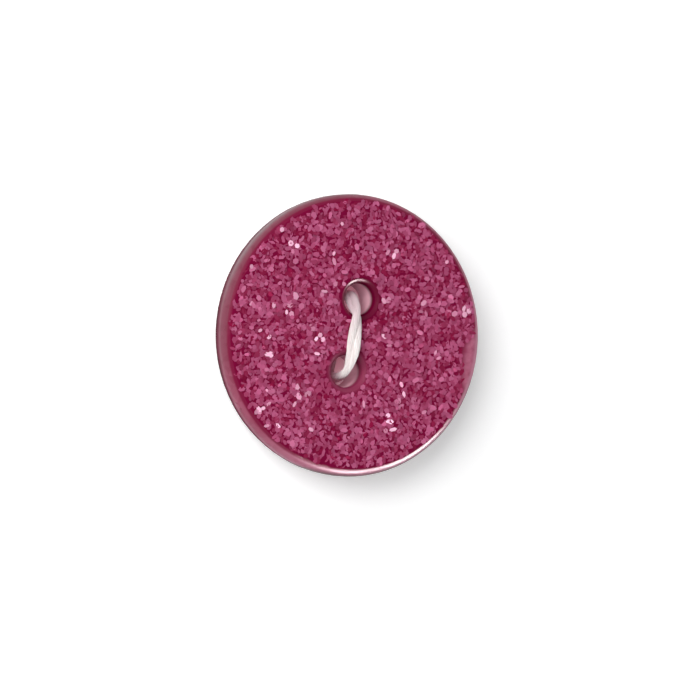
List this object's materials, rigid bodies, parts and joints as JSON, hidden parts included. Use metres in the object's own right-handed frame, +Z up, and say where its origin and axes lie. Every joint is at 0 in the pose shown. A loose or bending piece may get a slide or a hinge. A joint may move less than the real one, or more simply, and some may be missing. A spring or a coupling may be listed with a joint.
{
  "type": "sew-through button",
  "caption": "Round glitter resin button with a flat face, a rolled edge and a hollowed back, and an off-white thread stitched through its sewing holes.",
  "frame": {"origin": "centre of the flat ring at the back that the button rests on", "axes": "+Z points up out of the face along the button's axis; the sewing holes lie along Y"},
  "size_m": [0.0126, 0.0126, 0.0029],
  "materials": {
    "button": "glossy crimson resin with pink glitter cast in",
    "thread": "off-white two-ply sewing thread"
  },
  "bodies": {
    "root": {"button": "button", "thread": "thread"}
  },
  "joints": []
}
